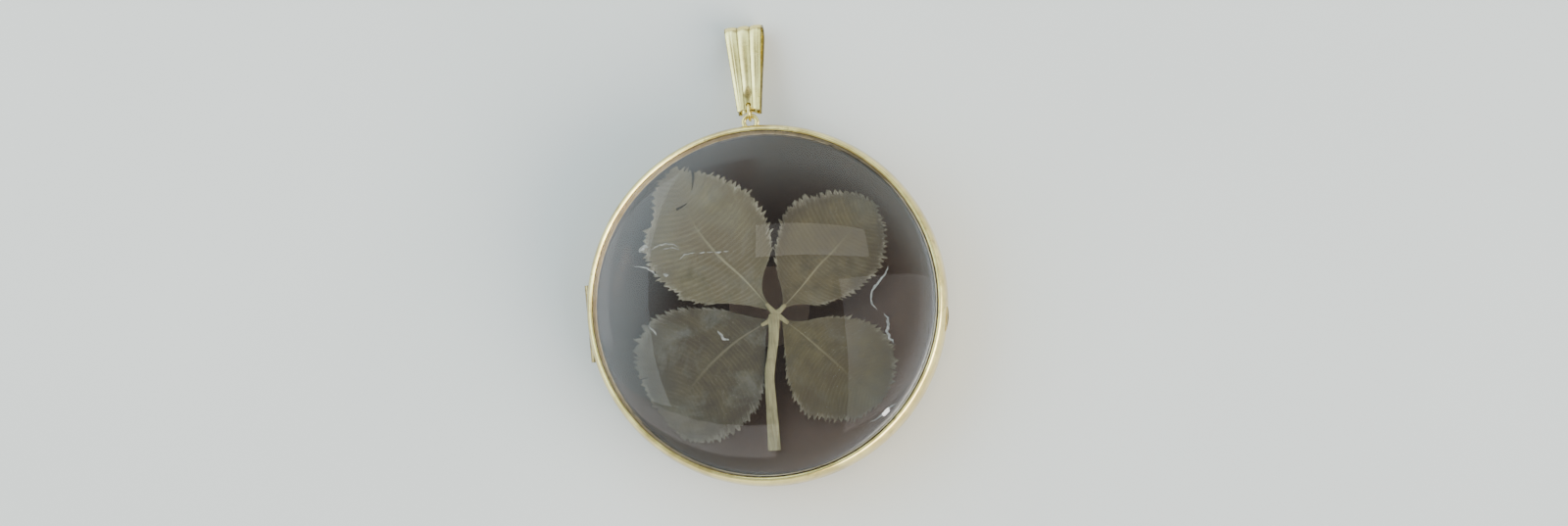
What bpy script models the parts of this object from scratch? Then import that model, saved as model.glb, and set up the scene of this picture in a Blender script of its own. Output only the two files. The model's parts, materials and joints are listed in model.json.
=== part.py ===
"""A round glass locket that holds a pressed clover, lying face up.

Units are metres. +Z is the way the face looks, +Y runs towards the bail and the hinge is at -X. The
origin is the middle of the flat foot on the rear crystal, which rests on z = 0. Turned profiles are
(radius, height) pairs in millimetres, with heights from the seam plane between the two halves.
"""

from math import asin, cos, pi, radians, sin

import bmesh
import bpy
from mathutils import Euler, Matrix, Vector

MM = 0.001
SIDES = 64
ROUND_SIDES = 32
BORE_SIDES = 24
TAB_SIDES = 128
SADDLE_SIDES = 40
SHARP_ANGLE = 35
MERGE = 1e-7
EMPTY_SIZE = 2.0

# Rim, the two bezels
RIM_R = 14.0
RIM_CROWN_R = 13.5
RIM_HALF_HEIGHT = 1.82
SEAM_HALF_GAP = 0.02
SEAT_R = 13.60
SEAT_TOP = 1.30
LIP_R = 13.34
LIP_LOW = 1.56
LIP_HIGH = 1.70
LIP_CORNER_R = 13.40
LIP_CORNER_Z = 1.78
RIM_ARC_STEPS = 6

# Crystals
FLAT_FACE = 0.30
REBATE_R = 12.85
REBATE_TOP = 0.66
CRYSTAL_R = 13.54
CRYSTAL_EDGE_TOP = 1.26
SHOULDER_R = 13.30
SHOULDER_TOP_R = 13.27
SHOULDER_TOP_Z = 1.57
SHOULDER_Z = 1.50
DOME_R = 13.20
DOME_BASE = 1.58
DOME_RISE = 2.02
DOME_POWER = 1.5
DOME_STEPS = 9
FOOT_R = 3.0

# Rings inside the rim
RETAINER_INNER_R = 12.95
RETAINER_OUTER_R = 13.52
RETAINER_LOW = 0.42
RETAINER_HIGH = 0.62
COLLAR_INNER_R = 13.38
COLLAR_OUTER_R = 13.56
COLLAR_LOW = -0.38
COLLAR_HIGH = 0.35
COLLAR_OPENING_DEPTH = 2.0
COLLAR_OPENING = 4.6

# Hinge
HINGE_X = -13.77
KNUCKLE_R = 0.30
KNUCKLE_CLEARANCE_R = 0.35
BORE_R = 0.17
BORE_OVERRUN = 1.0
PIN_R = 0.14
PIN_INSET = 0.04
KNUCKLE_HALF_SPAN = 3.0
MIDDLE_KNUCKLE_HALF = 1.0
KNUCKLE_END_GAP = 0.05
HINGE_CUT_HALF = 3.2

# Thumb lip, opposite the hinge
THUMB_ANGLE = -10.8
THUMB_HALF_WIDTH = 0.95
THUMB_PROUD = 0.12
THUMB_LOW = 0.10
THUMB_HIGH = 0.46
THUMB_ROOT_R = 14.03
THUMB_EDGE = 0.03
THUMB_EDGE_STEPS = 2
THUMB_EDGE_ANGLE = 40
ROOT_HALF_HEIGHT = 4.0

# Eye on the rim for the bail, with its saddle
EYE_Z = -0.80
EYE_Y = 14.46
EYE_R = 0.52
EYE_WIRE_R = 0.18
EYE_STEPS = 32
EYE_WIRE_SIDES = 12
EYE_SINK = 0.02
EYE_CUT = 2.0
SADDLE_DEPTH = 1.0
SADDLE_ROOT_R = 14.03
SADDLE_TOP_Y = 14.14
SADDLE_HALF_WIDTH = 0.95
SADDLE_HALF_HEIGHT = 0.36

# Jump ring
RING_R = 0.60
RING_WIRE_R = 0.12
RING_PLAY = 0.03
RING_STEPS = 28
RING_WIRE_SIDES = 10

# Bail, with its y measured from the wire that it hangs on
BAIL_FOLD_REACH = 6.65
BAIL_HALF_THICKNESS = 1.0
BAIL_SHEET = 0.20
BAIL_RIB = 0.10
BAIL_RIB_ROUNDNESS = 0.8
BAIL_DISH = 1.5
BAIL_DISH_START = 0.3
BAIL_DISH_LENGTH = 1.2
BAIL_RISE_START = 0.2
BAIL_FOOT_Y = -0.62
BAIL_FOOT_HALF_GAP = 0.41
BAIL_FOOT_HALF_WIDTH = 0.91
BAIL_TOP_HALF_WIDTH = 1.52
BAIL_HOLE_Y = -0.10
BAIL_HOLE_R = 0.21
BAIL_ARCH_Y = -0.84
BAIL_ARCH_HALF_WIDTH = 0.80
BAIL_ARCH_HEIGHT = 0.41
BAIL_CUT_HALF = 1.5
BAIL_LENGTH_STEPS = 34
BAIL_WIDTH_STEPS = 15
BAIL_REST_GAP = 0.03

# Clover, pressed between the two flat faces
STEM_LINE = ((0.6, -0.9), (0.4, -2.7), (0.1, -4.1), (-0.2, -5.6), (-0.3, -8.5), (-0.4, -11.1))
STEM_HALF_WIDTH = 0.44
STEM_LEVEL = 0.16
STEM_HALF_THICKNESS = 0.08
STEM_STEPS = 16
HUB_HALF_WIDTH = 0.62
HUB_STEPS = 8
HUB_TAPER = 12
LEAF_HALF_THICKNESS = 0.05
LEAF_STEPS = 14
LOW_LEVEL = -0.15
HIGH_LEVEL = -0.01
# Each leaflet's level and its two margins from the hub to the tip
LEAFLETS = (
    (
        LOW_LEVEL,
        (
            (0.5, -0.6), (-0.2, 1.4), (0.9, 4.2), (0.8, 5.7), (0.1, 7.7), (-1.3, 9.2),
            (-3.5, 10.4), (-6.1, 11.1),
        ),
        (
            (0.5, -0.6), (-1.0, -0.1), (-2.7, 0.3), (-5.6, 0.8), (-8.0, 2.9), (-8.9, 5.2),
            (-8.0, 7.5), (-7.6, 9.6), (-6.1, 11.1),
        ),
    ),
    (
        HIGH_LEVEL,
        (
            (1.0, -0.7), (2.3, -0.3), (4.2, -0.5), (6.1, -0.1), (7.8, 0.9), (9.0, 1.9), (9.5, 4.2),
            (9.0, 6.7),
        ),
        (
            (1.0, -0.7), (1.4, 0.4), (1.1, 2.5), (1.2, 4.3), (1.9, 6.2), (2.8, 7.4), (4.6, 7.8),
            (7.2, 7.8), (9.0, 6.7),
        ),
    ),
    (
        LOW_LEVEL,
        (
            (1.1, -1.2), (1.1, -2.7), (1.1, -4.2), (1.2, -6.4), (2.1, -8.4), (3.7, -9.1),
            (5.9, -9.3), (7.9, -8.3),
        ),
        (
            (1.1, -1.2), (2.4, -1.6), (5.0, -1.5), (7.1, -2.0), (8.7, -3.1), (9.3, -5.0),
            (9.0, -6.7), (7.9, -8.3),
        ),
    ),
    (
        HIGH_LEVEL,
        (
            (0.2, -1.3), (-1.0, -0.9), (-3.4, -0.1), (-6.0, 0.3), (-8.5, -0.2), (-10.0, -1.8),
            (-10.3, -3.9), (-9.4, -6.4), (-8.1, -8.5),
        ),
        (
            (0.2, -1.3), (-0.2, -2.6), (-0.4, -4.4), (-0.8, -6.4), (-1.5, -7.8), (-2.6, -8.9),
            (-4.4, -9.8), (-6.6, -9.8), (-8.1, -8.5),
        ),
    ),
)

RIM_GOLD = (0.72, 0.57, 0.33)
BRIGHT_GOLD = (0.80, 0.68, 0.42)
DARK_GOLD = (0.45, 0.33, 0.17)
CLEAR_GLASS = (0.90, 0.89, 0.93)
SMOKY_GLASS = (0.42, 0.37, 0.41)
STEEL = (0.55, 0.55, 0.56)
LEAF_COLOUR = (0.22, 0.20, 0.13)
STEM_COLOUR = (0.36, 0.33, 0.18)


def dome_height(turn):
    """Height of the dome over the seam plane; turn is 0 at the apex and 90 degrees at the shoulder."""
    return DOME_BASE + DOME_RISE * cos(turn) ** DOME_POWER


FOOT_TURN = asin(FOOT_R / DOME_R)
SEAM_Z = dome_height(FOOT_TURN)
EYE_PIVOT_Y = EYE_Y + EYE_R
RING_OFFSET = RING_R - RING_WIRE_R - EYE_WIRE_R - RING_PLAY
BAIL_PIVOT = RING_OFFSET + RING_R
BAIL_FOLD_Y = BAIL_FOLD_REACH - BAIL_PIVOT
DROOP = asin((SEAM_Z + EYE_Z - BAIL_HALF_THICKNESS - BAIL_REST_GAP) / BAIL_FOLD_REACH)


def clear_scene():
    for thing in list(bpy.data.objects):
        bpy.data.objects.remove(thing, do_unlink=True)


def new_collection(name):
    group = bpy.data.collections.new(name)
    bpy.context.scene.collection.children.link(group)
    return group


def material(name, colour, metallic, roughness, clear=0.0):
    made = bpy.data.materials.new(name)
    made.use_nodes = True
    shader = made.node_tree.nodes["Principled BSDF"]
    shader.inputs["Base Color"].default_value = (*colour, 1.0)
    shader.inputs["Metallic"].default_value = metallic
    shader.inputs["Roughness"].default_value = roughness
    shader.inputs["Transmission Weight"].default_value = clear
    made.diffuse_color = (*colour, 1.0)
    return made


def place(thing, group):
    """Moves an object from the scene's own collection to a named one."""
    for other in list(thing.users_collection):
        other.objects.unlink(thing)
    group.objects.link(thing)
    return thing


def finish(thing, name, surface):
    thing.name = name
    thing.data.name = name
    thing.data.materials.clear()
    thing.data.materials.append(surface)
    if thing.type == "MESH":
        thing.data.shade_smooth()
        thing.data.set_sharp_from_angle(angle=radians(SHARP_ANGLE))
    return place(thing, PARTS)


def as_cutter(thing, name):
    thing.name = name
    thing.hide_render = True
    thing.display_type = "WIRE"
    return place(thing, CUTTERS)


def cut(thing, cutter):
    step = thing.modifiers.new("cut_" + cutter.name, "BOOLEAN")
    step.operation = "DIFFERENCE"
    step.solver = "EXACT"
    step.object = cutter


def turned(name, profile, surface, closed):
    """A ring from a closed profile, or a disc from one that starts and ends on the axis."""
    mesh = bpy.data.meshes.new(name)
    points = [(r * MM, 0.0, z * MM) for r, z in profile]
    edges = [(i, i + 1) for i in range(len(points) - 1)]
    if closed:
        edges.append((len(points) - 1, 0))
    mesh.from_pydata(points, edges, [])
    thing = bpy.data.objects.new(name, mesh)
    thing.location.z = SEAM_Z * MM
    spin = thing.modifiers.new("turn", "SCREW")
    spin.axis = "Z"
    spin.steps = SIDES
    spin.render_steps = SIDES
    spin.use_merge_vertices = True
    spin.merge_threshold = MERGE
    spin.use_smooth_shade = True
    return finish(thing, name, surface)


def flipped(profile):
    """The same profile for the rear half, still run from top to bottom down its outer side."""
    return [(r, -z) for r, z in reversed(profile)]


def cylinder(radius, half_length, centre, direction, sides=ROUND_SIDES):
    """A cylinder about centre, whose axis is 'Y' or 'Z'."""
    turns = {"Y": (radians(90), 0, 0), "Z": (0, 0, 0)}
    bpy.ops.mesh.primitive_cylinder_add(
        vertices=sides,
        radius=radius * MM,
        depth=2 * half_length * MM,
        location=Vector(centre) * MM,
        rotation=turns[direction],
    )
    return bpy.context.object


def box(half_sizes, centre):
    bpy.ops.mesh.primitive_cube_add(size=2.0, location=Vector(centre) * MM)
    thing = bpy.context.object
    thing.scale = Vector(half_sizes) * MM
    bpy.ops.object.transform_apply(location=False, rotation=False, scale=True)
    return thing


def parented(thing, empty):
    """Parents a piece to the empty on its joint's axis and leaves it where it is."""
    bpy.context.view_layer.update()
    thing.parent = empty
    thing.matrix_parent_inverse = empty.matrix_world.inverted()
    return thing


def joint_empty(name, position, turn=(0.0, 0.0, 0.0)):
    """An empty on a joint's axis, to turn that joint's pieces by."""
    empty = bpy.data.objects.new(name, None)
    empty.location = Vector(position) * MM
    empty.rotation_euler = turn
    empty.empty_display_size = EMPTY_SIZE * MM
    PARTS.objects.link(empty)
    bpy.context.view_layer.update()
    return empty


def bezel_profile():
    """The front bezel: a bulging wall, a lip rolled over the crystal and a plain seat."""
    crown = []
    for step in range(RIM_ARC_STEPS + 1):
        turn = radians(90) * (1 - step / RIM_ARC_STEPS)
        wide = RIM_CROWN_R + (RIM_R - RIM_CROWN_R) * cos(turn)
        high = SEAM_HALF_GAP + (RIM_HALF_HEIGHT - SEAM_HALF_GAP) * sin(turn)
        crown.append((wide, high))
    inside = [
        (SEAT_R, SEAM_HALF_GAP),
        (SEAT_R, SEAT_TOP),
        (LIP_R, LIP_LOW),
        (LIP_R, LIP_HIGH),
        (LIP_CORNER_R, LIP_CORNER_Z),
    ]
    return crown + inside


def crystal_profile(first_turn):
    """The front crystal from its axis outwards: dome, shoulder, edge, rebate and flat inner face."""
    dome = []
    for step in range(DOME_STEPS + 1):
        turn = first_turn + (radians(90) - first_turn) * step / DOME_STEPS
        dome.append((DOME_R * sin(turn), dome_height(turn)))
    edge = [
        (SHOULDER_TOP_R, SHOULDER_TOP_Z),
        (SHOULDER_R, SHOULDER_Z),
        (CRYSTAL_R, CRYSTAL_EDGE_TOP),
        (CRYSTAL_R, REBATE_TOP),
        (REBATE_R, REBATE_TOP),
        (REBATE_R, FLAT_FACE),
        (0.0, FLAT_FACE),
    ]
    start = [(0.0, dome_height(first_turn))] if first_turn > 0 else []
    return start + dome + edge


def ring_profile(inner, outer, low, high):
    return [(outer, high), (outer, low), (inner, low), (inner, high)]


def make_hinge_cut():
    around_knuckles = cylinder(KNUCKLE_CLEARANCE_R, HINGE_CUT_HALF, (HINGE_X, 0, SEAM_Z), "Y")
    return as_cutter(around_knuckles, "hinge_clearance")


def make_rim(hinge_cut):
    front = turned("front_bezel", bezel_profile(), RIM, True)
    rear = turned("rear_bezel", flipped(bezel_profile()), RIM, True)
    cut(front, hinge_cut)
    cut(rear, hinge_cut)
    return [front]


def make_crystals():
    front = turned("front_crystal", crystal_profile(0.0), CLEAR, False)
    turned("rear_crystal", flipped(crystal_profile(FOOT_TURN)), SMOKY, False)
    return [front]


def make_inner_rings(hinge_cut):
    """The retaining rings, notched for the knuckles, and the collar, which is open on the hinge's side."""
    span = ring_profile(RETAINER_INNER_R, RETAINER_OUTER_R, RETAINER_LOW, RETAINER_HIGH)
    front = turned("front_retaining_ring", span, HIDDEN_GOLD, True)
    rear = turned("rear_retaining_ring", flipped(span), HIDDEN_GOLD, True)
    collar_span = ring_profile(COLLAR_INNER_R, COLLAR_OUTER_R, COLLAR_LOW, COLLAR_HIGH)
    collar = turned("snap_collar", collar_span, HIDDEN_GOLD, True)
    opening = box((COLLAR_OPENING_DEPTH, COLLAR_OPENING, COLLAR_OPENING_DEPTH), (HINGE_X, 0, SEAM_Z))
    cut(front, hinge_cut)
    cut(rear, hinge_cut)
    cut(collar, as_cutter(opening, "collar_opening"))
    return [front]


def knuckle(name, low_y, high_y, bore):
    middle = (HINGE_X, (low_y + high_y) / 2, SEAM_Z)
    tube = cylinder(KNUCKLE_R, (high_y - low_y) / 2, middle, "Y")
    tube = finish(tube, name, RIM)
    cut(tube, bore)
    return tube


def make_hinge():
    """Two knuckles on the rear half, one between them on the front half, and the pin through all three."""
    bore = as_cutter(
        cylinder(BORE_R, KNUCKLE_HALF_SPAN + BORE_OVERRUN, (HINGE_X, 0, SEAM_Z), "Y", BORE_SIDES),
        "hinge_bore",
    )
    inner = MIDDLE_KNUCKLE_HALF + KNUCKLE_END_GAP
    knuckle("rear_knuckle_upper", inner, KNUCKLE_HALF_SPAN, bore)
    knuckle("rear_knuckle_lower", -KNUCKLE_HALF_SPAN, -inner, bore)
    front = knuckle("front_knuckle", -MIDDLE_KNUCKLE_HALF, MIDDLE_KNUCKLE_HALF, bore)
    pin = cylinder(PIN_R, KNUCKLE_HALF_SPAN - PIN_INSET, (HINGE_X, 0, SEAM_Z), "Y", BORE_SIDES)
    finish(pin, "hinge_pin", PIN)
    return [front]


def rim_core(radius, name):
    """A cutter that fills the rim, to shape what is fixed to its outside."""
    return as_cutter(cylinder(radius, ROOT_HALF_HEIGHT, (0, 0, SEAM_Z), "Z", 4 * SIDES), name)


def make_thumb_lip():
    """A half-round tab on the front half, for a thumbnail."""
    depth = (THUMB_HIGH - THUMB_LOW) / 2
    reach = RIM_R + THUMB_PROUD
    circle_r = (THUMB_HALF_WIDTH**2 + THUMB_PROUD**2) / (2 * THUMB_PROUD)
    angle = radians(THUMB_ANGLE)
    out = Vector((cos(angle), sin(angle), 0)) * (reach - circle_r)
    level = SEAM_Z + (THUMB_LOW + THUMB_HIGH) / 2
    tab = cylinder(circle_r, depth, (out.x, out.y, level), "Z", TAB_SIDES)
    tab = finish(tab, "thumb_lip", RIM)
    cut(tab, rim_core(THUMB_ROOT_R, "thumb_root"))
    edge = tab.modifiers.new("soft_edge", "BEVEL")
    edge.width = THUMB_EDGE * MM
    edge.segments = THUMB_EDGE_STEPS
    edge.limit_method = "ANGLE"
    edge.angle_limit = radians(THUMB_EDGE_ANGLE)
    return [tab]


def make_eye():
    """A wire loop with its two ends on a small saddle."""
    bpy.ops.mesh.primitive_torus_add(
        location=Vector((0, EYE_Y, SEAM_Z + EYE_Z)) * MM,
        major_radius=EYE_R * MM,
        minor_radius=EYE_WIRE_R * MM,
        major_segments=EYE_STEPS,
        minor_segments=EYE_WIRE_SIDES,
    )
    eye = finish(bpy.context.object, "bail_eye", BRIGHT)
    base_y = SADDLE_TOP_Y + EYE_SINK - EYE_CUT
    base = box((EYE_CUT, EYE_CUT, EYE_CUT), (0, base_y, SEAM_Z + EYE_Z))
    cut(eye, as_cutter(base, "eye_base"))

    half_depth = SADDLE_DEPTH / 2
    middle = (0, SADDLE_TOP_Y - half_depth, SEAM_Z + EYE_Z)
    saddle = cylinder(SADDLE_HALF_WIDTH, half_depth, middle, "Y", SADDLE_SIDES)
    saddle.scale = (1, SADDLE_HALF_HEIGHT / SADDLE_HALF_WIDTH, 1)
    bpy.ops.object.transform_apply(location=False, rotation=False, scale=True)
    saddle = finish(saddle, "eye_saddle", BRIGHT)
    cut(saddle, rim_core(SADDLE_ROOT_R, "saddle_root"))


def link_frame():
    """The frame at the eye's outer wire whose Y runs along the drooping bail."""
    turn = Euler((-DROOP, 0, 0)).to_matrix().to_4x4()
    return Matrix.Translation(Vector((0, EYE_PIVOT_Y, SEAM_Z + EYE_Z)) * MM) @ turn


def make_jump_ring(frame):
    bpy.ops.mesh.primitive_torus_add(
        major_radius=RING_R * MM,
        minor_radius=RING_WIRE_R * MM,
        major_segments=RING_STEPS,
        minor_segments=RING_WIRE_SIDES,
        rotation=(0, radians(90), 0),
    )
    ring = bpy.context.object
    bpy.ops.object.transform_apply(location=False, rotation=True, scale=False)
    ring.matrix_world = frame @ Matrix.Translation((0, RING_OFFSET * MM, 0))
    return finish(ring, "jump_ring", BRIGHT)


def smooth(x):
    x = min(max(x, 0.0), 1.0)
    return x * x * (3 - 2 * x)


def bail_point(along, across):
    """A point of the bail's outer face, which has a crest in the middle and one at each side.

    along runs from 0 at the front foot over the fold to 1 at the rear foot, and across from -1 to 1.
    """
    fold_r = BAIL_HALF_THICKNESS - BAIL_RIB
    leaf = BAIL_FOLD_Y - BAIL_FOOT_Y
    arc = pi * fold_r
    run = along * (2 * leaf + arc)
    if run < leaf or run > leaf + arc:
        side = 1 if run < leaf else -1
        y = BAIL_FOOT_Y + (run if side > 0 else 2 * leaf + arc - run)
        rise = smooth((y - BAIL_RISE_START) / (BAIL_FOLD_Y - BAIL_RISE_START))
        z = side * (BAIL_FOOT_HALF_GAP + (fold_r - BAIL_FOOT_HALF_GAP) * rise)
        out = (0.0, float(side))
    else:
        turn = (run - leaf) / fold_r
        out = (sin(turn), cos(turn))
        y = BAIL_FOLD_Y + fold_r * out[0]
        z = fold_r * out[1]
    crest = abs(cos(1.5 * pi * across)) ** BAIL_RIB_ROUNDNESS
    dished = 1 - smooth((y - BAIL_DISH_START) / BAIL_DISH_LENGTH)
    if abs(across) < 1 / 3:
        crest *= 1 - BAIL_DISH * dished
    lift = BAIL_RIB * crest
    share = (y - BAIL_FOOT_Y) / (BAIL_FOLD_Y + fold_r - BAIL_FOOT_Y)
    half = BAIL_FOOT_HALF_WIDTH + (BAIL_TOP_HALF_WIDTH - BAIL_FOOT_HALF_WIDTH) * share
    return Vector((across * half, y + lift * out[0], z + lift * out[1])) * MM


def make_bail(frame):
    """A ribbed, tapered strip folded over, with an arched foot and a hole in each leaf for the ring."""
    bpy.ops.mesh.primitive_grid_add(
        x_subdivisions=BAIL_WIDTH_STEPS, y_subdivisions=BAIL_LENGTH_STEPS, size=2
    )
    bail = bpy.context.object
    for vertex in bail.data.vertices:
        vertex.co = bail_point((vertex.co.y + 1) / 2, vertex.co.x)
    shape = bmesh.new()
    shape.from_mesh(bail.data)
    bmesh.ops.recalc_face_normals(shape, faces=shape.faces)
    top = max(shape.faces, key=lambda face: face.calc_center_median().y)
    if top.normal.y < 0:
        bmesh.ops.reverse_faces(shape, faces=shape.faces)
    shape.to_mesh(bail.data)
    shape.free()
    bail.matrix_world = frame @ Matrix.Translation((0, BAIL_PIVOT * MM, 0))
    bail = finish(bail, "bail", BRIGHT)
    sheet = bail.modifiers.new("sheet", "SOLIDIFY")
    sheet.thickness = BAIL_SHEET * MM
    sheet.offset = -1.0
    sheet.use_even_offset = True

    hole = as_cutter(cylinder(BAIL_HOLE_R, BAIL_CUT_HALF, (0, 0, 0), "Z", BORE_SIDES), "bail_hole")
    hole.matrix_world = bail.matrix_world @ Matrix.Translation((0, BAIL_HOLE_Y * MM, 0))
    arch = cylinder(BAIL_ARCH_HALF_WIDTH, BAIL_CUT_HALF, (0, 0, 0), "Z", SADDLE_SIDES)
    arch.scale.y = BAIL_ARCH_HEIGHT / BAIL_ARCH_HALF_WIDTH
    bpy.ops.object.transform_apply(location=False, rotation=False, scale=True)
    arch = as_cutter(arch, "bail_arch")
    arch.matrix_world = bail.matrix_world @ Matrix.Translation((0, BAIL_ARCH_Y * MM, 0))
    cut(bail, hole)
    cut(bail, arch)
    return bail


def flat_outline(name, points, level, half_thickness, surface):
    """A thin plate from a closed outline of (x, y) millimetre points."""
    data = bpy.data.curves.new(name, "CURVE")
    data.dimensions = "2D"
    data.fill_mode = "BOTH"
    data.extrude = half_thickness * MM
    line = data.splines.new("POLY")
    line.points.add(len(points) - 1)
    for point, (x, y) in zip(line.points, points):
        point.co = (x * MM, y * MM, 0, 1)
    line.use_cyclic_u = True
    thing = bpy.data.objects.new(name, data)
    thing.location.z = (SEAM_Z + level) * MM
    return finish(thing, name, surface)


def spline(points, count):
    """count + 1 points, evenly shared out along a smooth curve through the given ones."""
    given = [Vector(point) for point in points]
    ends = [2 * given[0] - given[1]] + given + [2 * given[-1] - given[-2]]
    made = []
    for step in range(count + 1):
        place = step / count * (len(given) - 1)
        k = min(int(place), len(given) - 2)
        t = place - k
        p0, p1, p2, p3 = ends[k : k + 4]
        bend = (2 * p0 - 5 * p1 + 4 * p2 - p3) * t * t + (3 * p1 - p0 - 3 * p2 + p3) * t**3
        made.append((2 * p1 + (p2 - p0) * t + bend) / 2)
    return made


def leaf_outline(right, left):
    return [tuple(point) for point in spline(right, LEAF_STEPS) + spline(left, LEAF_STEPS)[-2:0:-1]]


def stem_outline():
    """A bowed ribbon that widens into the hub at its top."""
    line = spline(STEM_LINE, STEM_STEPS)
    left = []
    right = []
    for step, middle in enumerate(line):
        before = line[max(step - 1, 0)]
        after = line[min(step + 1, STEM_STEPS)]
        ahead = (after - before).normalized()
        side = Vector((-ahead.y, ahead.x))
        taper = 1 - smooth(step / STEM_STEPS * HUB_TAPER)
        half = STEM_HALF_WIDTH + (HUB_HALF_WIDTH - STEM_HALF_WIDTH) * taper
        left.append(tuple(middle + side * half))
        right.append(tuple(middle - side * half))
    top = line[0]
    ahead = (line[1] - top).normalized()
    side = Vector((-ahead.y, ahead.x))
    cap = []
    for step in range(1, HUB_STEPS):
        turn = pi * step / HUB_STEPS
        cap.append(tuple(top - (side * cos(turn) + ahead * sin(turn)) * HUB_HALF_WIDTH))
    return left + right[::-1] + cap


def make_clover():
    for number, (level, right, left) in enumerate(LEAFLETS, 1):
        name = f"clover_leaflet_{number}"
        flat_outline(name, leaf_outline(right, left), level, LEAF_HALF_THICKNESS, LEAF)
    flat_outline("clover_stem", stem_outline(), STEM_LEVEL, STEM_HALF_THICKNESS, STEM)


clear_scene()
PARTS = new_collection("locket")
CUTTERS = new_collection("cutters")
RIM = material("rim_gold", RIM_GOLD, 1.0, 0.3)
BRIGHT = material("bright_gold", BRIGHT_GOLD, 1.0, 0.28)
HIDDEN_GOLD = material("inner_gold", DARK_GOLD, 1.0, 0.4)
CLEAR = material("front_glass", CLEAR_GLASS, 0.0, 0.05, clear=0.9)
SMOKY = material("rear_glass", SMOKY_GLASS, 0.0, 0.05, clear=0.9)
PIN = material("pin_steel", STEEL, 1.0, 0.35)
LEAF = material("dried_leaf", LEAF_COLOUR, 0.0, 0.85)
STEM = material("dried_stem", STEM_COLOUR, 0.0, 0.8)

hinge_clearance = make_hinge_cut()
cover_pieces = make_rim(hinge_clearance) + make_crystals() + make_inner_rings(hinge_clearance)
cover_pieces += make_hinge() + make_thumb_lip()
make_eye()
make_clover()
link = link_frame()
jump_ring = make_jump_ring(link)
bail = make_bail(link)

cover_axis = joint_empty("cover_axis", (HINGE_X, 0, SEAM_Z))
link_axis = joint_empty("link_axis", link.translation / MM, (-DROOP, 0, 0))
for piece in cover_pieces:
    parented(piece, cover_axis)
for piece in (jump_ring, bail):
    parented(piece, link_axis)
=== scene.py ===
"""The looks of a round glass locket that holds a pressed four-leaf clover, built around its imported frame.

Lengths are in millimetres in the tables below and turned into metres by MM. Heights are measured from the
seam plane between the two halves of the rim. +Z is the way the face looks and +Y runs towards the bail.
The room and its lamps are in metres.
"""

import json
from math import asin, atan2, cos, pi, radians, sin, sqrt

import bmesh
import bpy
import numpy as np
from mathutils import Matrix, Vector, noise


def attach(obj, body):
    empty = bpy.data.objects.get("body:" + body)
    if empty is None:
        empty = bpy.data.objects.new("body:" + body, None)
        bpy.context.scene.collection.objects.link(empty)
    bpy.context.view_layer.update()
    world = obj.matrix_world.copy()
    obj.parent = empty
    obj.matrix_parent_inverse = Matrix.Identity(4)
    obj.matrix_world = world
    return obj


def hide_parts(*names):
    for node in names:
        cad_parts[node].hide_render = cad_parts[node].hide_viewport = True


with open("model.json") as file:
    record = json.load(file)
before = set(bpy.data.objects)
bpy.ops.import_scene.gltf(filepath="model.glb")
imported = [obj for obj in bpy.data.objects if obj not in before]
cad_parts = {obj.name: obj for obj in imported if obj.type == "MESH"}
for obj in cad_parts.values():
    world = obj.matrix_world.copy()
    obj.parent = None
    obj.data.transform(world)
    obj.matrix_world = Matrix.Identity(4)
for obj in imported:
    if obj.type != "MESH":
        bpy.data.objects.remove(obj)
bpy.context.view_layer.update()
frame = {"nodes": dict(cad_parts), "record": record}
MM = 0.001
JOINTS = {joint["name"]: joint for joint in frame["record"]["behaviour"]["joints"]}

# Rim
RIM_R = 14.0
RIM_CROWN_R = 13.5
RIM_HALF_HEIGHT = 1.82
SEAM_HALF_GAP = 0.02
SEAT_R = 13.60
SEAT_TOP = 1.30
LIP_R = 13.34
LIP_LOW = 1.56
LIP_HIGH = 1.70
LIP_CORNER_R = 13.40
LIP_CORNER_Z = 1.78
RIM_SIDES = 288
RIM_STEPS = 20
RIM_EDGE = 0.03
RIM_WOBBLE = 0.012

# Crystals
FLAT_FACE = 0.30
REBATE_R = 12.85
REBATE_TOP = 0.66
CRYSTAL_R = 13.54
CRYSTAL_EDGE_TOP = 1.26
SHOULDER_R = 13.30
SHOULDER_TOP_R = 13.27
SHOULDER_TOP_Z = 1.57
SHOULDER_Z = 1.50
DOME_R = 13.20
DOME_BASE = 1.58
DOME_RISE = 2.02
DOME_POWER = 1.5
FOOT_R = 3.0
GLASS_SIDES = 256
DOME_STEPS = 56

# Hinge cut in the rim
HINGE_CUT_R = 0.35
HINGE_CUT_HALF = 3.2

# Eye, jump ring and bail
EYE_R = 0.52
EYE_WIRE_R = 0.18
SADDLE_TOP_Y = 14.14
RING_R = 0.60
RING_WIRE_R = 0.12
BAIL_FOLD_REACH = 6.65
BAIL_HALF_THICKNESS = 1.0
BAIL_SHEET = 0.20
BAIL_RIB = 0.10
BAIL_RIB_ROUNDNESS = 0.8
BAIL_FLUTE = 0.22
BAIL_FLUTE_PLACE = 0.70
BAIL_FLUTE_HALF = 0.07
BAIL_DISH = 1.5
BAIL_DISH_START = 0.3
BAIL_DISH_LENGTH = 1.2
BAIL_RISE_START = 0.2
BAIL_FOOT_Y = -0.62
BAIL_FOOT_HALF_GAP = 0.41
BAIL_FOOT_HALF_WIDTH = 0.91
BAIL_TOP_HALF_WIDTH = 1.52
BAIL_HOLE_Y = -0.10
BAIL_HOLE_R = 0.21
BAIL_ARCH_Y = -0.84
BAIL_ARCH_HALF_WIDTH = 0.80
BAIL_ARCH_HEIGHT = 0.41
BAIL_CUT_HALF = 1.5
BAIL_ROWS = 150
BAIL_COLUMNS = 60
BAIL_EDGE = 0.035
EYE_GAP = 0.02
EYE_CUT = 4.0

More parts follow.
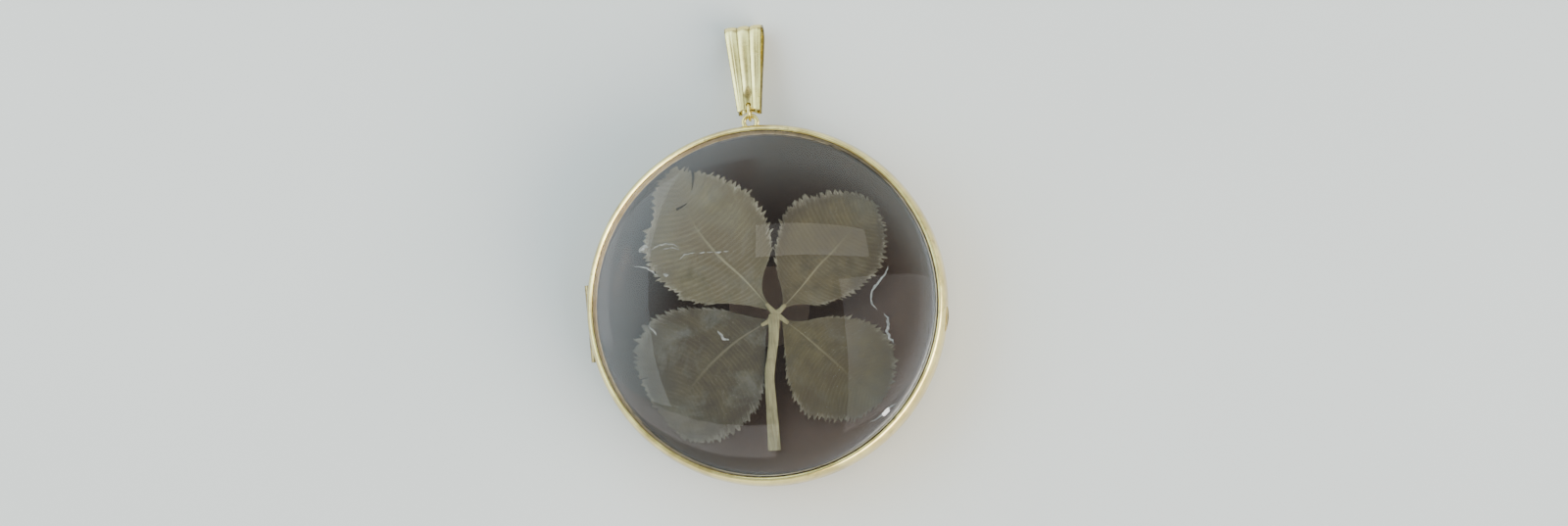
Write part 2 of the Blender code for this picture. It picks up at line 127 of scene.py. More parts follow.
SEAM_Z = JOINTS["cover_hinge"]["pos_m"][2] / MM
HINGE_X = JOINTS["cover_hinge"]["pos_m"][0] / MM
EYE_PIVOT = Vector(JOINTS["link_tip"]["pos_m"]) / MM
BAIL_WIRE = Vector(JOINTS["bail_swing"]["pos_m"]) / MM
FOOT_TURN = asin(FOOT_R / DOME_R)


# ---------------------------------------------------------------- node materials


class Tree:
    """A small helper that adds shader nodes and wires them in one call each."""

    def __init__(self, name):
        self.material = bpy.data.materials.new(name)
        self.material.use_nodes = True
        self.nodes = self.material.node_tree.nodes
        self.links = self.material.node_tree.links
        self.shader = self.nodes["Principled BSDF"]
        self.out = self.nodes["Material Output"]

    def feed(self, socket, value):
        if isinstance(value, bpy.types.NodeSocket):
            self.links.new(value, socket)
        else:
            socket.default_value = value

    def add(self, kind, inputs=None, output=0, **settings):
        node = self.nodes.new("ShaderNode" + kind)
        for key, value in settings.items():
            setattr(node, key, value)
        for key, value in (inputs or {}).items():
            self.feed(node.inputs[key], value)
        return node.outputs[output]

    def math(self, operation, first, second=0.0, clamp=False):
        return self.add("Math", {0: first, 1: second}, operation=operation, use_clamp=clamp)

    def place(self, scale=(1.0, 1.0, 1.0)):
        """Object coordinates in millimetres, stretched by scale."""
        where = self.add("TexCoord", output=3)
        return self.add("Mapping", {"Vector": where, "Scale": tuple(s / MM for s in scale)})

    def noise(self, vector, scale, detail=4.0, rough=0.55, distortion=0.0):
        wanted = {"Vector": vector, "Scale": scale, "Detail": detail}
        wanted.update({"Roughness": rough, "Distortion": distortion})
        return self.add("TexNoise", wanted)

    def ramp(self, factor, stops):
        """A colour ramp from (place, colour) pairs."""
        socket = self.add("ValToRGB", {"Fac": factor})
        band = socket.node.color_ramp
        while len(band.elements) < len(stops):
            band.elements.new(0.5)
        for element, (place, colour) in zip(band.elements, stops):
            element.position = place
            element.color = (*colour, 1.0)
        return socket

    def span(self, value, low, high, to_low=0.0, to_high=1.0):
        wanted = {"Value": value, "From Min": low, "From Max": high, "To Min": to_low, "To Max": to_high}
        return self.add("MapRange", wanted, clamp=True)

    def blend(self, factor, first, second):
        node = self.nodes.new("ShaderNodeMix")
        node.data_type = "RGBA"
        self.feed(node.inputs["Factor"], factor)
        self.feed(node.inputs["A"], first)
        self.feed(node.inputs["B"], second)
        return node.outputs["Result"]

    def bump(self, height, distance, strength=1.0, under=None):
        wanted = {"Height": height, "Distance": distance * MM, "Strength": strength}
        if under is not None:
            wanted["Normal"] = under
        return self.add("Bump", wanted)

    def set(self, **values):
        for key, value in values.items():
            self.feed(self.shader.inputs[key.replace("_", " ")], value)


def rgb(r, g, b):
    return (r, g, b, 1.0)


# The rim's wall: the radii where its painted shade begins and is full, the painted shade's colour, which
# stands for the dark surroundings the wall mirrors, and the side towards the low glow, left bright as a
# painted highlight
WALL_START_R = 13.70
WALL_FULL_R = 13.94
WALL_PAINTED_SHADE = (0.34, 0.255, 0.11)
LIT_SIDE_WAY = -38
LIT_SIDE_FROM = 1.0
LIT_SIDE_TO = 9.5


def gold(name, bright, deep, tarnish_and_groove_shade, rough, wear=0.5, grooves=None, wall=False):
    """Worn gold-filled sheet: hairline scratches, soft dents and a darker film in patches.

    grooves names a mesh attribute that is 1 where the recesses get painted shade, in the third colour,
    which also darkens the random specks. With wall, the rim's side gets painted shade that stands for the
    dark surroundings it mirrors, except towards the low glow, where it is left bright as a painted
    highlight.
    """
    tree = Tree(name)
    plain = tree.place()
    patches = tree.noise(plain, 0.42, 5.0, 0.6)
    fine = tree.noise(plain, 3.2, 4.0, 0.6)
    film = tree.span(patches, 0.40, 0.66)
    colour = tree.blend(film, rgb(*bright), rgb(*deep))
    specks = tree.span(tree.noise(plain, 1.7, 6.0, 0.7), 0.58, 0.72)
    colour = tree.blend(tree.math("MULTIPLY", specks, wear), colour, rgb(*tarnish_and_groove_shade))
    # Painted shade on the rim's outer wall, full at its outer radius; the side towards the low glow keeps
    # its bright gold as a painted highlight
    if wall:
        where = tree.add("TexCoord", output=3)
        flat = tree.add("VectorMath", {0: where, 1: (1 / MM, 1 / MM, 0.0)}, operation="MULTIPLY")
        radius = tree.add("VectorMath", {0: flat}, 1, operation="LENGTH")
        lit_side = (cos(radians(LIT_SIDE_WAY)), sin(radians(LIT_SIDE_WAY)), 0.0)
        towards_lit_side = tree.add("VectorMath", {0: flat, 1: lit_side}, 1, operation="DOT_PRODUCT")
        wall_shade = tree.span(radius, WALL_START_R, WALL_FULL_R)
        wall_shade = tree.math("MULTIPLY", wall_shade, tree.span(towards_lit_side, LIT_SIDE_FROM, LIT_SIDE_TO, 1.0, 0.1))
        wall_shade = tree.math("MULTIPLY", wall_shade, tree.span(patches, 0.2, 0.8, 0.65, 0.9))
        colour = tree.blend(wall_shade, colour, rgb(*WALL_PAINTED_SHADE))
    # Painted shade in the bail's grooves, its dish and along its edges, in the third colour
    if grooves:
        depth = tree.add("Attribute", output=2, attribute_name=grooves)
        uneven = tree.span(fine, 0.3, 0.7, 0.75, 1.0)
        colour = tree.blend(tree.math("MULTIPLY", depth, uneven), colour, rgb(*tarnish_and_groove_shade))
    along = tree.noise(tree.place((14.0, 0.9, 2.0)), 1.0, 3.0, 0.6)
    across = tree.noise(tree.place((0.8, 13.0, 2.0)), 1.0, 3.0, 0.6)
    scratches = tree.math("MAXIMUM", tree.span(along, 0.62, 0.72), tree.span(across, 0.63, 0.73))
    roughness = tree.span(fine, 0.3, 0.7, rough * 0.75, rough * 1.25)
    roughness = tree.math("ADD", roughness, tree.math("MULTIPLY", scratches, 0.08))
    roughness = tree.math("ADD", roughness, tree.math("MULTIPLY", film, 0.07))
    dents = tree.bump(tree.noise(plain, 0.8, 2.0, 0.5), 0.05, 0.35)
    grain = tree.bump(tree.noise(plain, 9.0, 3.0, 0.6), 0.006, 0.5, dents)
    lines = tree.bump(scratches, 0.004, 0.6, grain)
    tree.set(Base_Color=colour, Metallic=1.0, Roughness=roughness, Normal=lines)
    return tree.material


def glass(name, tint, shadow_tint):
    """Old polished glass with faint ripples and fine scratches. Lamps reach what lies behind it, tinted."""
    tree = Tree(name)
    plain = tree.place()
    ripple = tree.bump(tree.noise(plain, 0.16, 2.0, 0.4), 0.02, 0.5)
    hairs = tree.noise(tree.place((6.0, 0.5, 1.0)), 1.0, 2.0, 0.5)
    hairs_across = tree.noise(tree.place((0.4, 5.0, 1.0)), 1.0, 2.0, 0.5)
    marks = tree.math("MAXIMUM", tree.span(hairs, 0.66, 0.74), tree.span(hairs_across, 0.67, 0.75))
    smears = tree.span(tree.noise(plain, 0.35, 4.0, 0.6), 0.42, 0.7, 0.008, 0.035)
    roughness = tree.math("ADD", smears, tree.math("MULTIPLY", marks, 0.05))
    tree.set(Base_Color=rgb(*tint), Roughness=roughness, IOR=1.5, Normal=ripple)
    tree.shader.inputs["Transmission Weight"].default_value = 1.0
    clear = tree.nodes.new("ShaderNodeBsdfTransparent")
    clear.inputs["Color"].default_value = rgb(*shadow_tint)
    mix = tree.nodes.new("ShaderNodeMixShader")
    tree.links.new(tree.add("LightPath", output=1), mix.inputs[0])
    tree.links.new(tree.shader.outputs[0], mix.inputs[1])
    tree.links.new(clear.outputs[0], mix.inputs[2])
    tree.links.new(mix.outputs[0], tree.out.inputs[0])
    return tree.material


BLOOM = (0.20, 0.225, 0.21)
# Radians of the wave that makes a leaflet's side veins, from its base to its tip
VEINS = 235.0


def leaf(name, pale, body, brown, fringe, bloom, shift):
    """A pressed clover leaflet, whose margin is streaked with fringe and whose face has a pale bloom.

    Its UV map runs along the midrib in U, and across it in V with the midrib at 0.5.
    """
    tree = Tree(name)
    uv = tree.add("UVMap", uv_map="leaf")
    split = tree.nodes.new("ShaderNodeSeparateXYZ")
    tree.links.new(uv, split.inputs[0])
    along = split.outputs[0]
    off = tree.math("MULTIPLY", tree.math("ABSOLUTE", tree.math("SUBTRACT", split.outputs[1], 0.5)), 2.0)
    plain = tree.place()
    moved = tree.add("VectorMath", {0: plain, 1: (shift, shift * 0.7, 0.0)}, operation="ADD")
    mottle = tree.noise(moved, 0.9, 6.0, 0.66)
    cloud = tree.noise(moved, 0.22, 3.0, 0.5)
    deep = [c * 0.72 for c in body]
    light = [c * 1.35 for c in body]
    colour = tree.ramp(mottle, ((0.34, deep), (0.5, body), (0.68, light)))
    colour = tree.blend(tree.span(cloud, 0.45, 0.66, 0.0, 0.8), colour, rgb(*brown))
    ghost = tree.noise(moved, 0.34, 6.0, 0.72, 0.6)
    colour = tree.blend(tree.span(ghost, 0.48, 0.70, 0.0, bloom), colour, rgb(*BLOOM))
    bent = tree.math("ADD", along, tree.math("MULTIPLY", tree.noise(moved, 0.5, 2.0, 0.5), 0.012))
    veins = tree.math("SINE", tree.math("MULTIPLY", bent, VEINS))
    vein_line = tree.math("MULTIPLY", tree.span(veins, 0.2, 1.0), tree.span(mottle, 0.35, 0.65, 0.2, 1.0))
    colour = tree.blend(tree.math("MULTIPLY", vein_line, 0.22), colour, rgb(*pale))
    # Streaks that run out to the margin, dark ones inside and pale ones at the edge
    lengthwise = tree.math("MULTIPLY", bent, 150.0)
    crosswise = tree.math("MULTIPLY", off, 3.0)
    stretched = tree.add("CombineXYZ", {"X": lengthwise, "Y": crosswise, "Z": shift})
    streaks = tree.noise(stretched, 1.0, 4.0, 0.7)
    ragged = tree.math("ADD", off, tree.math("MULTIPLY", tree.math("SUBTRACT", streaks, 0.5), 0.55))
    band = tree.math("MULTIPLY", tree.span(ragged, 0.66, 0.86), tree.span(along, 0.15, 0.5))
    colour = tree.blend(tree.math("MULTIPLY", band, 0.6), colour, rgb(*brown))
    edge = tree.math("MULTIPLY", tree.span(ragged, 0.90, 1.06), tree.span(mottle, 0.42, 0.6, 0.15, 1.0))
    colour = tree.blend(edge, colour, rgb(*fringe))
    rib = tree.span(off, 0.006, 0.03, 1.0, 0.0)
    rib = tree.math("MULTIPLY", rib, tree.span(along, 0.35, 0.8, 1.0, 0.0))
    colour = tree.blend(tree.math("MULTIPLY", rib, 0.8), colour, rgb(*pale))
    cells = tree.add("TexVoronoi", {"Vector": plain, "Scale": 5.5}, feature="F1")
    colour = tree.blend(tree.span(cells, 0.1, 0.75, 0.0, 0.2), colour, rgb(*[c * 0.5 for c in body]))
    relief = tree.bump(veins, 0.004, 0.5)
    relief = tree.bump(cells, 0.008, 0.5, relief)
    relief = tree.bump(tree.noise(plain, 5.0, 4.0, 0.65), 0.010, 0.6, relief)
    tree.set(Base_Color=colour, Roughness=tree.span(mottle, 0.3, 0.7, 0.62, 0.82), Normal=relief)
    tree.shader.inputs["Specular IOR Level"].default_value = 0.3
    return tree.material


def stalk(name, pale, deep):
    """A dried stem: fine lengthwise fibres and darker blots."""
    tree = Tree(name)
    fibres = tree.noise(tree.place((9.0, 0.5, 3.0)), 1.0, 4.0, 0.6)
    plain = tree.place()
    middle = [(a + b) / 2 for a, b in zip(pale, deep)]
    colour = tree.ramp(fibres, ((0.32, deep), (0.5, middle), (0.66, pale)))
    blots = tree.span(tree.noise(plain, 0.9, 4.0, 0.6), 0.52, 0.74, 0.0, 0.6)
    colour = tree.blend(blots, colour, rgb(*[c * 0.6 for c in deep]))
    relief = tree.bump(fibres, 0.03, 0.8)
    relief = tree.bump(tree.noise(plain, 7.0, 3.0, 0.6), 0.01, 0.5, relief)
    tree.set(Base_Color=colour, Roughness=0.72, Normal=relief)
    return tree.material


def steel(name):
    """Steel wire with a fine grain along X."""
    tree = Tree(name)
    drawn = tree.noise(tree.place((0.6, 9.0, 9.0)), 1.0, 4.0, 0.6)
    colour = tree.ramp(drawn, ((0.3, (0.30, 0.29, 0.28)), (0.7, (0.55, 0.54, 0.53))))
    roughness = tree.span(drawn, 0.3, 0.7, 0.28, 0.45)
    tree.set(Base_Color=colour, Metallic=1.0, Roughness=roughness, Normal=tree.bump(drawn, 0.004, 0.6))
    return tree.material


def deposit_and_glint(name):
    """Pale dried deposit, uneven in tone. Its lines on the first leaflet's crease are painted highlights,
    the glint along the crease's edges.
    """
    tree = Tree(name)
    plain = tree.place()
    tones = ((0.35, (0.10, 0.11, 0.10)), (0.65, (0.30, 0.32, 0.29)))
    colour = tree.ramp(tree.noise(plain, 4.0, 4.0, 0.6), tones)
    relief = tree.bump(tree.noise(plain, 12.0, 3.0, 0.6), 0.01, 0.8)
    roughness = tree.span(tree.noise(plain, 3.0, 2.0, 0.5), 0.3, 0.7, 0.45, 0.7)
    tree.set(Base_Color=colour, Roughness=roughness, Normal=relief)
    return tree.material


def table_top(name):
    """A plain pale table with a faint unevenness of tone."""
    tree = Tree(name)
    plain = tree.place((0.05, 0.05, 0.05))
    fine = tree.noise(plain, 12.0, 3.0, 0.5)
    tones = ((0.3, (0.70, 0.695, 0.685)), (0.7, (0.74, 0.735, 0.725)))
    colour = tree.ramp(tree.noise(plain, 0.5, 2.0, 0.5), tones)
    tree.set(Base_Color=colour, Roughness=tree.span(fine, 0.3, 0.7, 0.5, 0.6))
    return tree.material


RIM_GOLD = gold(
    "rim_gold", (0.97, 0.82, 0.34), (0.64, 0.50, 0.18), (0.20, 0.14, 0.05), 0.13, 0.7, wall=True
)
BRIGHT_GOLD = gold("bright_gold", (0.98, 0.84, 0.34), (0.76, 0.61, 0.20), (0.34, 0.27, 0.09), 0.20, 0.5)
# The bail's gold: its darkest colour is painted shade in the grooves, the dish and along the edges, and
# also darkens random specks
RIBBED_GOLD = gold(
    "ribbed_gold", (0.98, 0.84, 0.34), (0.76, 0.61, 0.20), (0.10, 0.07, 0.02), 0.20, 0.4, grooves="groove"
)
# The knuckles' gold is a darker copy of the rim's: painted shade, matching the painted shade on the wall
SHADED_HINGE_GOLD = gold("shaded_hinge_gold", (0.42, 0.33, 0.15), (0.28, 0.21, 0.09), (0.15, 0.11, 0.05), 0.25, 0.7)
INNER_GOLD = gold("inner_gold", (0.62, 0.50, 0.30), (0.42, 0.32, 0.17), (0.18, 0.13, 0.07), 0.34, 0.7)
CLEAR_GLASS = glass("front_glass", (0.93, 0.92, 0.95), (0.95, 0.945, 0.96))
# The rear crystal's dark tint stands for the dark table seen through the locket: partly the table's own
# colour, partly painted shade. Its shadow tint also puts painted shade on the floor beneath.
REAR_GLASS_TABLE_AND_SHADE = glass("rear_glass", (0.190, 0.138, 0.100), (0.46, 0.40, 0.34))
PIN_STEEL = steel("pin_steel")
PALE_DEPOSIT_AND_GLINT = deposit_and_glint("residue_and_glint")
STEM = stalk("dried_stem", (0.25, 0.235, 0.115), (0.125, 0.112, 0.05))
# Each leaflet's pale, body, brown and fringe colours, the strength of its bloom and its shift of pattern
LEAF_TONES = (
    ((0.22, 0.21, 0.13), (0.094, 0.085, 0.046), (0.075, 0.062, 0.034), (0.34, 0.34, 0.26), 0.16, 3.0),
    ((0.19, 0.175, 0.10), (0.070, 0.058, 0.028), (0.036, 0.027, 0.016), (0.27, 0.26, 0.19), 0.12, 17.0),
    ((0.14, 0.13, 0.07), (0.066, 0.056, 0.025), (0.052, 0.040, 0.020), (0.20, 0.195, 0.14), 0.14, 31.0),
    ((0.12, 0.113, 0.070), (0.046, 0.040, 0.022), (0.034, 0.028, 0.018), (0.19, 0.19, 0.15), 0.28, 51.0),
)


# ---------------------------------------------------------------- mesh helpers


def new_object(name, vertices, faces, surface, smooth_angle=None):
    mesh = bpy.data.meshes.new(name)
    mesh.from_pydata([tuple(v) for v in vertices], [], [tuple(f) for f in faces])
    mesh.validate()
    thing = bpy.data.objects.new(name, mesh)
    bpy.context.scene.collection.objects.link(thing)
    mesh.materials.append(surface)
    mesh.shade_smooth()
    if smooth_angle is not None:
        mesh.set_sharp_from_angle(angle=radians(smooth_angle))
    return thing


def apply_modifiers(thing, smooth_angle=None):
    bpy.context.view_layer.update()
    graph = bpy.context.evaluated_depsgraph_get()
    mesh = bpy.data.meshes.new_from_object(thing.evaluated_get(graph))
    thing.modifiers.clear()
    thing.data = mesh
    mesh.shade_smooth()
    if smooth_angle is not None:
        mesh.set_sharp_from_angle(angle=radians(smooth_angle))
    return thing


def cut(thing, cutter, smooth_angle=35):
    """Takes the cutter's volume out of thing."""
    step = thing.modifiers.new("cut", "BOOLEAN")
    step.operation = "DIFFERENCE"
    step.solver = "EXACT"
    step.object = cutter
    apply_modifiers(thing, smooth_angle)
    bpy.data.objects.remove(cutter, do_unlink=True)
    return thing


def turned(name, profile, sides, surface, closed, smooth_angle=30, wobble=0.0):
    """Spins (radius, height) points round Z at the rim's middle.

    A profile that isn't closed starts and ends on the axis. wobble moves the surface in and out a little.
    """
    ring = [2 * pi * k / sides for k in range(sides)]
    points = []
    faces = []
    inner = profile if closed else profile[1:-1]
    size = len(inner)
    for turn in ring:
        for r, z in inner:
            shift = wobble * noise.noise(Vector((2.2 * cos(turn), 2.2 * sin(turn), z * 0.4)))
            points.append(Vector(((r + shift) * cos(turn), (r + shift) * sin(turn), SEAM_Z + z)) * MM)
    for k in range(sides):
        here = k * size
        there = ((k + 1) % sides) * size
        for j in range(size - 1):
            faces.append((here + j, here + j + 1, there + j + 1, there + j))
        if closed:
            faces.append((here + size - 1, here, there, there + size - 1))
    if not closed:
        for place, row in ((profile[0], 0), (profile[-1], size - 1)):
            tip = len(points)
            points.append(Vector((0, 0, SEAM_Z + place[1])) * MM)
            for k in range(sides):
                here = k * size + row
                there = ((k + 1) % sides) * size + row
                faces.append((tip, here, there) if row == 0 else (tip, there, here))
    return new_object(name, points, faces, surface, smooth_angle)


def rounded(corners, radius, steps=3):
    """Replaces each corner of a closed profile by a small arc."""
    made = []
    for k, corner in enumerate(corners):
        here = Vector(corner)
        before = Vector(corners[k - 1]) - here
        after = Vector(corners[(k + 1) % len(corners)]) - here
        reach = min(radius, before.length * 0.4, after.length * 0.4)
        start = here + before.normalized() * reach
        end = here + after.normalized() * reach
        for step in range(steps + 1):
            share = step / steps
            made.append(tuple(start.lerp(here, share).lerp(here.lerp(end, share), share)))
    return made


def flipped(profile):
    """The same profile for the rear half."""
    return [(r, -z) for r, z in reversed(profile)]


def smooth(x):
    x = min(max(x, 0.0), 1.0)
    return x * x * (3 - 2 * x)


def spline(points, count):
    """count points evenly spaced along a smooth curve through the given ones."""
    given = [Vector((x, y)) for x, y in points]
    ends = [2 * given[0] - given[1]] + given + [2 * given[-1] - given[-2]]
    fine = []
    for k in range(1, len(ends) - 2):
        p0, p1, p2, p3 = ends[k - 1 : k + 3]
        for step in range(24):
            t = step / 24
            fine.append(
                0.5 * (2 * p1 + (p2 - p0) * t + (2 * p0 - 5 * p1 + 4 * p2 - p3) * t * t
                       + (3 * p1 - p0 - 3 * p2 + p3) * t**3)
            )
    fine.append(given[-1])
    run = np.concatenate([[0.0], np.cumsum([(b - a).length for a, b in zip(fine, fine[1:])])])
    wanted = np.linspace(0, run[-1], count)
    xs = np.interp(wanted, run, [p.x for p in fine])
    ys = np.interp(wanted, run, [p.y for p in fine])
    return [Vector((x, y)) for x, y in zip(xs, ys)]


def cylinder_cutter(radius, half, matrix, sides=64, squash=1.0):
    bpy.ops.mesh.primitive_cylinder_add(vertices=sides, radius=radius * MM, depth=2 * half * MM)
    thing = bpy.context.object
    for vertex in thing.data.vertices:
        vertex.co.y *= squash
    thing.matrix_world = matrix
    bpy.context.view_layer.update()
    return thing


# ---------------------------------------------------------------- rim and crystals


def bezel_profile(steps):
    """The front bezel: a bulging wall, a lip rolled over the crystal and a plain seat."""
    corners = []
    for step in range(steps + 1):
        turn = radians(90) * (1 - step / steps)
        wide = RIM_CROWN_R + (RIM_R - RIM_CROWN_R) * cos(turn)
        high = SEAM_HALF_GAP + (RIM_HALF_HEIGHT - SEAM_HALF_GAP) * sin(turn)
        corners.append((wide, high))
    tail = [
        (SEAT_R, SEAM_HALF_GAP),
        (SEAT_R, SEAT_TOP),
        (LIP_R, LIP_LOW),
        (LIP_R, LIP_HIGH),
        (LIP_CORNER_R, LIP_CORNER_Z),
    ]
    return corners[:-1] + rounded([corners[-1], *tail], RIM_EDGE)


def crystal_profile(first_turn):
    """The front crystal from its axis outwards: dome, shoulder, edge, rebate and flat inner face."""
    dome = []
    for step in range(DOME_STEPS + 1):
        turn = first_turn + (radians(90) - first_turn) * step / DOME_STEPS
        dome.append((DOME_R * sin(turn), DOME_BASE + DOME_RISE * cos(turn) ** DOME_POWER))
    edge = [
        (SHOULDER_TOP_R, SHOULDER_TOP_Z),
        (SHOULDER_R, SHOULDER_Z),
        (CRYSTAL_R, CRYSTAL_EDGE_TOP),
        (CRYSTAL_R, REBATE_TOP),
        (REBATE_R, REBATE_TOP),
        (REBATE_R, FLAT_FACE),
        (0.0, FLAT_FACE),
    ]
    if first_turn > 0:
        return [(0.0, dome[0][1])] + dome + edge
    return dome + edge


def make_rim():
    """The two bezels, each notched for the knuckles of the hinge."""
    profile = bezel_profile(RIM_STEPS)
    front = turned("gold_rim_front", profile, RIM_SIDES, RIM_GOLD, True, 40, RIM_WOBBLE)
    rear = turned("gold_rim_rear", flipped(profile), RIM_SIDES, RIM_GOLD, True, 40, RIM_WOBBLE)
    axis = Matrix.Translation(Vector((HINGE_X, 0, SEAM_Z)) * MM) @ Matrix.Rotation(radians(90), 4, "X")
    for half in (front, rear):
        cut(half, cylinder_cutter(HINGE_CUT_R, HINGE_CUT_HALF, axis), 40)
    return front, rear


def make_crystals():
    front = turned("crystal_front", crystal_profile(0.0), GLASS_SIDES, CLEAR_GLASS, False)
    rear = turned("crystal_rear", flipped(crystal_profile(FOOT_TURN)), GLASS_SIDES, REAR_GLASS_TABLE_AND_SHADE, False)
    return front, rear


# ---------------------------------------------------------------- eye, jump ring and bail


def torus(name, major, minor, matrix, surface, around=96, section=32):
    bpy.ops.mesh.primitive_torus_add(
        major_radius=major * MM, minor_radius=minor * MM, major_segments=around, minor_segments=section
    )
    thing = bpy.context.object
    thing.name = name
    thing.data.transform(matrix)
    thing.data.materials.append(surface)
    thing.data.shade_smooth()
    return thing


def make_eye():
    """A wire loop cut off flat, a hair above the saddle that it stands on."""
    centre = EYE_PIVOT - Vector((0, EYE_R, 0))
    eye = torus("wire_eye", EYE_R, EYE_WIRE_R, Matrix.Translation(centre * MM), BRIGHT_GOLD)
    bpy.ops.mesh.primitive_cube_add(size=EYE_CUT * MM)
    block = bpy.context.object
    block.location = Vector((0, SADDLE_TOP_Y + EYE_GAP - EYE_CUT / 2, EYE_PIVOT.z)) * MM
    bpy.context.view_layer.update()
    return cut(eye, block, 40)


def bail_frame():
    """The bail's own frame: its Y runs from the wire it hangs on towards its fold."""
    ahead = (BAIL_WIRE - EYE_PIVOT).normalized()
    droop = atan2(-ahead.z, ahead.y)
    return Matrix.Translation(BAIL_WIRE * MM) @ Matrix.Rotation(-droop, 4, "X")


def make_ring():
    back = -RING_R * MM
    turn = Matrix.Rotation(radians(90), 4, "Y")
    where = bail_frame() @ Matrix.Translation((0, back, 0)) @ turn
    return torus("link_ring", RING_R, RING_WIRE_R, where, BRIGHT_GOLD)


def rib_crest(across):
    """1 on top of the three ribs, and 0 in the two grooves between them and at both edges."""
    return abs(cos(1.5 * pi * across)) ** BAIL_RIB_ROUNDNESS


def dish(y):
    """1 at the bail's foot, where its middle is pressed in, and 0 further up."""
    return 1 - smooth((y - BAIL_DISH_START) / BAIL_DISH_LENGTH)


def rib_lift(across, y):
    """How far the ribs stand out of the bail at across, from -1 to 1, and y along it."""
    crest = rib_crest(across)
    if abs(across) < 1 / 3:
        crest *= 1 - BAIL_DISH * dish(y)
    flute = BAIL_FLUTE * max(0.0, 1 - abs(abs(across) - BAIL_FLUTE_PLACE) / BAIL_FLUTE_HALF)
    return BAIL_RIB * (crest - flute * smooth((y + 0.4) / 0.6))


def groove_shade_amount(across, y):
    """How much painted shade a place gets, by how far it is sunk: 1 in the grooves and at the edges, 0.8 in
    the dish, and 0 on the ribs.
    """
    low = 1 - rib_crest(across)
    dished = dish(y) * (1 - smooth(abs(across) / 0.5))
    return max(smooth((low - 0.55) / 0.4), 0.8 * dished)


def bail_point(along, across):
    """A point of the bail's outer face: along runs from the front foot over the fold to the rear foot."""
    fold_r = BAIL_HALF_THICKNESS - BAIL_RIB
    fold_y = BAIL_FOLD_REACH - (BAIL_WIRE - EYE_PIVOT).length
    straight = fold_y - BAIL_FOOT_Y
    arc = pi * fold_r
    run = along * (2 * straight + arc)
    if run < straight or run > straight + arc:
        side = 1 if run < straight else -1
        y = BAIL_FOOT_Y + (run if side > 0 else 2 * straight + arc - run)
        rise = smooth((y - BAIL_RISE_START) / (fold_y - BAIL_RISE_START))
        z = side * (BAIL_FOOT_HALF_GAP + (fold_r - BAIL_FOOT_HALF_GAP) * rise)
        out = (0.0, float(side))
    else:
        turn = (run - straight) / fold_r
        out = (sin(turn), cos(turn))
        y = fold_y + fold_r * out[0]
        z = fold_r * out[1]
    lift = rib_lift(across, y)
    share = (y - BAIL_FOOT_Y) / (fold_y + fold_r - BAIL_FOOT_Y)
    half = BAIL_FOOT_HALF_WIDTH + (BAIL_TOP_HALF_WIDTH - BAIL_FOOT_HALF_WIDTH) * share
    return Vector((across * half, y + lift * out[0], z + lift * out[1])) * MM


def make_bail():
    """A ribbed, tapered strip folded over, with an arched foot and a hole in each leaf for the ring."""
    points = []
    faces = []
    for j in range(BAIL_ROWS + 1):
        for i in range(BAIL_COLUMNS + 1):
            points.append(bail_point(j / BAIL_ROWS, 2 * i / BAIL_COLUMNS - 1))
    width = BAIL_COLUMNS + 1
    for j in range(BAIL_ROWS):
        for i in range(BAIL_COLUMNS):
            a = j * width + i
            faces.append((a, a + width, a + width + 1, a + 1)[::-1])
    bail = new_object("ribbed_bail", points, faces, RIBBED_GOLD)
    # 1 where the bail's gold gets painted shade
    depth = bail.data.attributes.new("groove", "FLOAT", "POINT")
    for index, entry in enumerate(depth.data):
        across = 2 * (index % width) / BAIL_COLUMNS - 1
        entry.value = groove_shade_amount(across, points[index].y / MM)
    sheet = bail.modifiers.new("sheet", "SOLIDIFY")
    sheet.thickness = BAIL_SHEET * MM
    sheet.offset = -1.0
    sheet.use_even_offset = True
    apply_modifiers(bail)
    edge = bail.modifiers.new("edge", "BEVEL")
    edge.width = BAIL_EDGE * MM
    edge.segments = 3
    edge.limit_method = "ANGLE"
    edge.angle_limit = radians(60)
    edge.use_clamp_overlap = True
    apply_modifiers(bail, 50)
    where = bail_frame()
    bail.matrix_world = where
    hole = cylinder_cutter(BAIL_HOLE_R, BAIL_CUT_HALF, where @ Matrix.Translation((0, BAIL_HOLE_Y * MM, 0)))
    cut(bail, hole, 50)
    arch_place = where @ Matrix.Translation((0, BAIL_ARCH_Y * MM, 0))
    squash = BAIL_ARCH_HEIGHT / BAIL_ARCH_HALF_WIDTH
    arch = cylinder_cutter(BAIL_ARCH_HALF_WIDTH, BAIL_CUT_HALF, arch_place, 96, squash)
    cut(bail, arch, 50)
    bail.data.transform(where)
    bail.matrix_world = Matrix.Identity(4)
    return bail


# ---------------------------------------------------------------- clover

